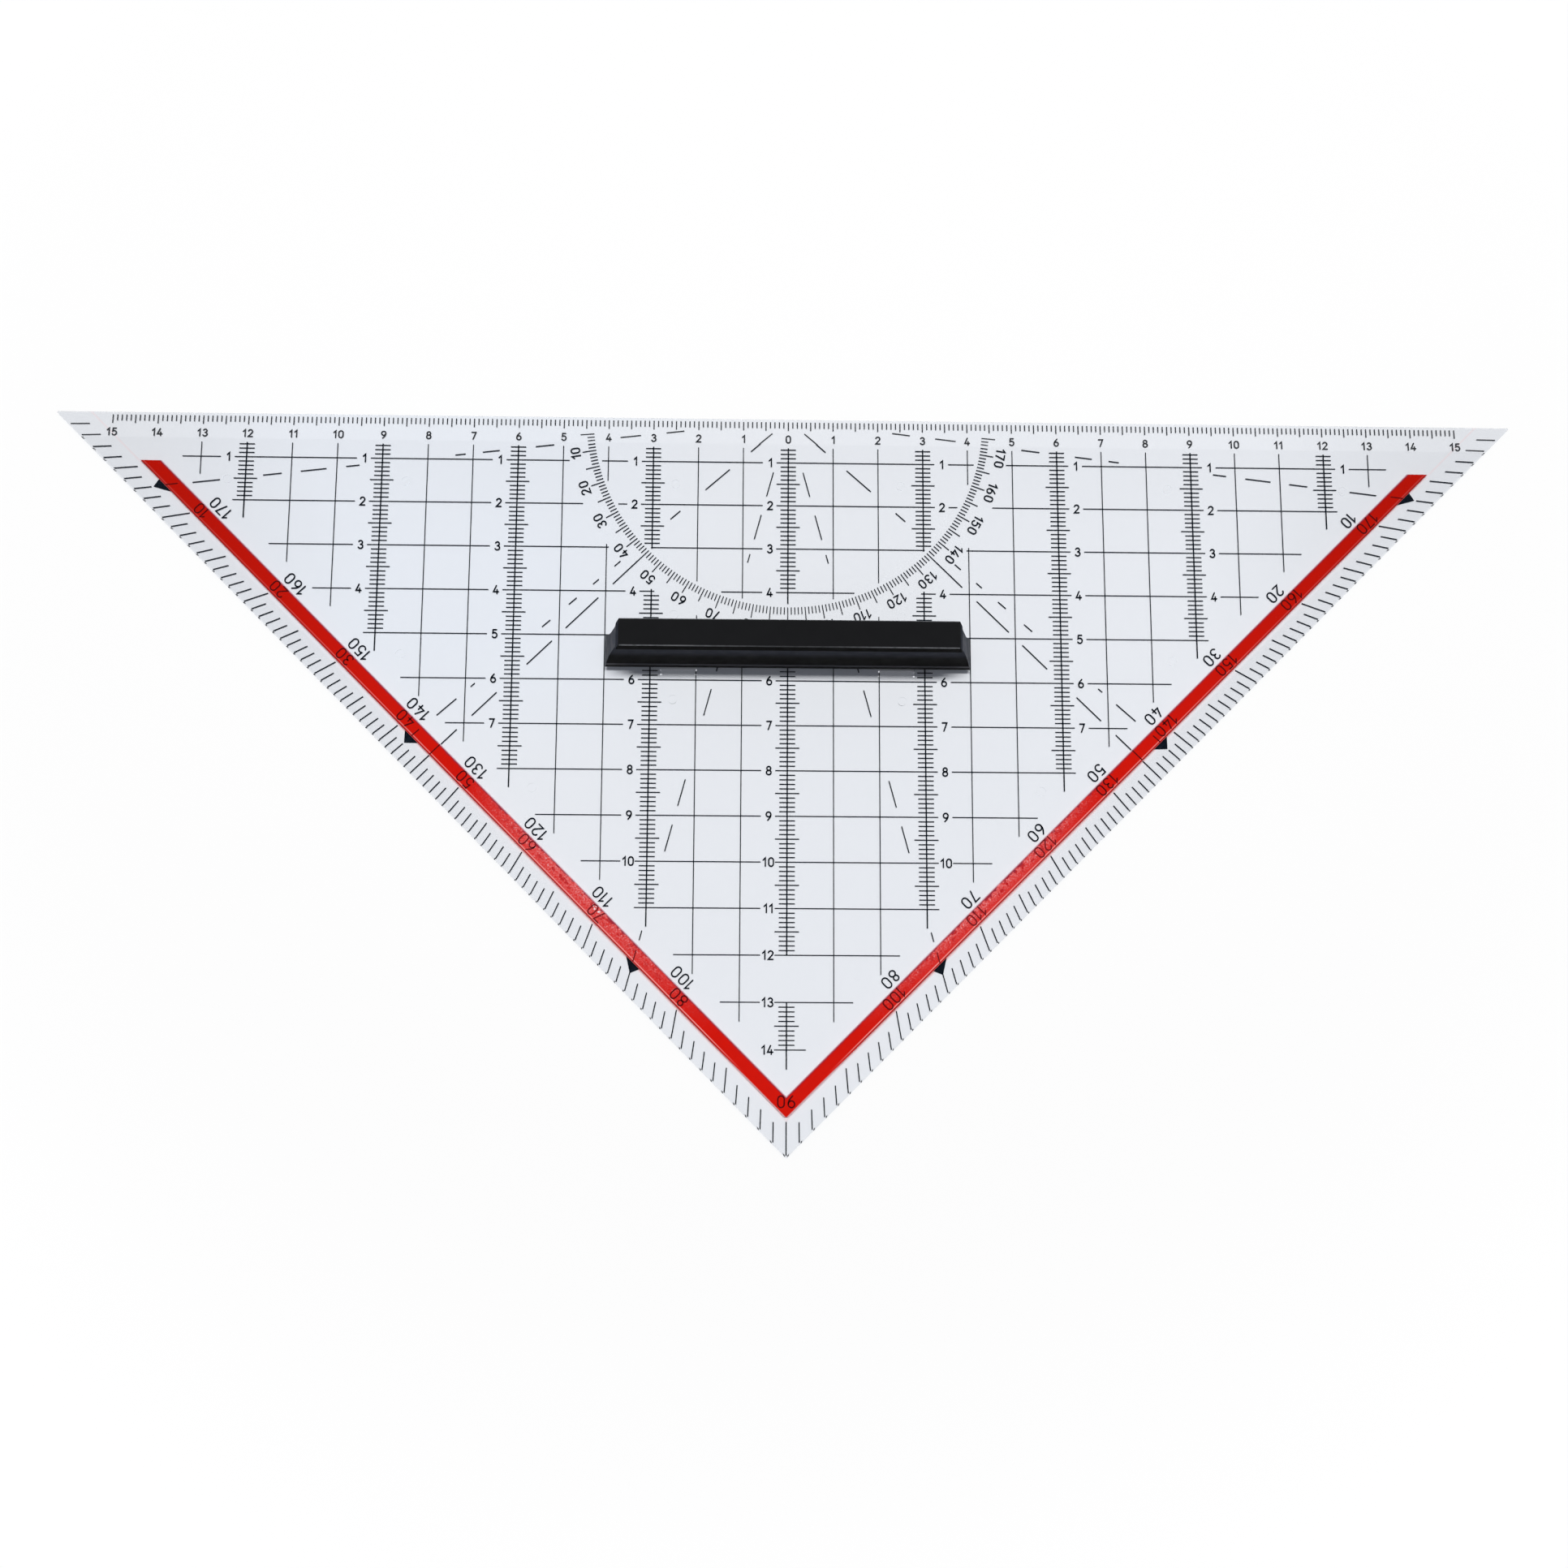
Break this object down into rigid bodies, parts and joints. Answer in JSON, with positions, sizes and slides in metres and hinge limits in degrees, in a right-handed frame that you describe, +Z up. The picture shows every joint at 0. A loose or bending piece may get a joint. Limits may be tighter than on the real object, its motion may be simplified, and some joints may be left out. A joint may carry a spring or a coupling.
{
  "type": "set square",
  "caption": "Clear right-angled isosceles set square with a ruling edge scale, a half-circle protractor, leg degree scales over a coloured band, a centimetre grid and a plug-in grip.",
  "frame": {"origin": "zero of the ruling edge, in the plane that the pips under the plate rest on", "axes": "+X along the ruling edge, +Y out of the ruling edge, +Z up towards the user; the plate lies at y below 0"},
  "size_m": [0.3242, 0.1624, 0.0185],
  "materials": {
    "clear_acrylic": "polished clear acrylic",
    "red_plastic": "smooth red strip",
    "black_plastic": "moulded satin black",
    "ink": "printed dark ink"
  },
  "bodies": {
    "plate": {"plate": "clear_acrylic", "degree_band": "red_plastic", "ruler_scale": "ink", "protractor_scale": "ink", "leg_degree_scale": "ink", "grid_lines_across": "ink", "grid_lines_along": "ink", "millimetre_combs": "ink", "angle_pointers": "ink", "guide_lines": "ink"},
    "grip": {"grip": "black_plastic"}
  },
  "joints": [
    {"name": "grip_lift", "type": "slide", "parent": "plate", "child": "grip", "axis": [0, 0, 1], "range_m": [0, 0.012]}
  ]
}
